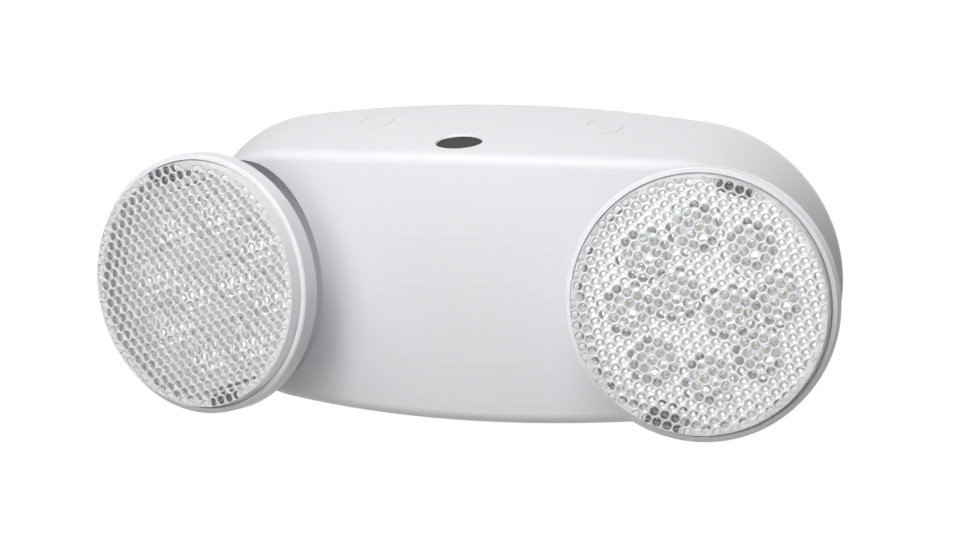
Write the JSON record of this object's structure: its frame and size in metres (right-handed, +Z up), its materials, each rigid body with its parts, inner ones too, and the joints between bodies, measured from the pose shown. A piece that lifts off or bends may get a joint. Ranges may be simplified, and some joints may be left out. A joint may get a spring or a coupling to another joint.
{
  "type": "twin-head emergency light",
  "caption": "Wall-mounted emergency light: an oval housing with a bowed front, a test button on top and a round swivelling lamp head with a honeycomb lens at each end.",
  "frame": {"origin": "middle of the wall face, between the two mounting holes", "axes": "+Y into the wall, the front faces -Y, +X towards the right head as seen from the front, +Z up"},
  "size_m": [0.3022, 0.0798, 0.124],
  "materials": {
    "housing_white": "satin white ABS",
    "button_dark": "polished charcoal",
    "switch_black": "moulded black",
    "circuit_board": "green solder mask",
    "steel": "zinc plated",
    "status_lamp": "tinted clear",
    "battery_wrap": "shrink wrap",
    "transformer_iron": "varnished laminations",
    "copper": "enamelled copper wire",
    "capacitor_sleeve": "black sleeve",
    "relay_case": "moulded case",
    "terminal_plastic": "moulded nylon",
    "neck_plastic": "moulded nylon, off white",
    "washer_rubber": "matt",
    "clear_lens": "clear polycarbonate",
    "reflector_metallised": "vacuum metallised plastic",
    "led_phosphor": "yellow phosphor"
  },
  "bodies": {
    "housing": {"front_cover": "housing_white", "back_plate": "housing_white", "test_switch": "switch_black", "switch_board": "circuit_board", "switch_board_screws": "steel", "status_led": "status_lamp", "battery_pack": "battery_wrap", "battery_strap": "steel", "battery_strap_screws": "steel", "control_board": "circuit_board", "control_board_screws": "steel", "transformer_core": "transformer_iron", "transformer_winding": "copper", "capacitors": "capacitor_sleeve", "relay": "relay_case", "terminal_block": "terminal_plastic"},
    "test_button": {"test_button": "button_dark", "switch_plunger": "switch_black"},
    "left_neck": {"swivel_neck_left": "neck_plastic", "tilt_pin_left": "steel", "friction_washer_left": "washer_rubber", "retaining_nut_left": "neck_plastic"},
    "left_head": {"head_shell_left": "housing_white", "lens_left": "clear_lens", "reflector_left": "reflector_metallised", "led_board_left": "circuit_board", "led_board_screws_left": "steel", "leds_left": "led_phosphor"},
    "right_neck": {"swivel_neck_right": "neck_plastic", "tilt_pin_right": "steel", "friction_washer_right": "washer_rubber", "retaining_nut_right": "neck_plastic"},
    "right_head": {"head_shell_right": "housing_white", "lens_right": "clear_lens", "reflector_right": "reflector_metallised", "led_board_right": "circuit_board", "led_board_screws_right": "steel", "leds_right": "led_phosphor"}
  },
  "joints": [
    {"name": "test_button_press", "type": "slide", "parent": "housing", "child": "test_button", "axis": [0.006, 0.23, -0.9732], "range_m": [0, 0.0015], "stiffness_N_per_m": 800, "springref_m": -0.0005},
    {"name": "left_head_swivel", "type": "hinge", "parent": "housing", "child": "left_neck", "pos_m": [-0.0973, -0.0395, 0], "axis": [-0.1323, -0.9912, 0], "range_deg": [-160, 160]},
    {"name": "left_head_tilt", "type": "hinge", "parent": "left_neck", "child": "left_head", "pos_m": [-0.0973, -0.0395, 0], "axis": [0.9405, -0.1255, 0.3156], "range_deg": [-14, 25]},
    {"name": "right_head_swivel", "type": "hinge", "parent": "housing", "child": "right_neck", "pos_m": [0.0973, -0.0395, 0], "axis": [0.1323, -0.9912, 0], "range_deg": [-160, 160]},
    {"name": "right_head_tilt", "type": "hinge", "parent": "right_neck", "child": "right_head", "pos_m": [0.0973, -0.0395, 0], "axis": [0.9405, 0.1255, -0.3156], "range_deg": [-14, 25]}
  ]
}
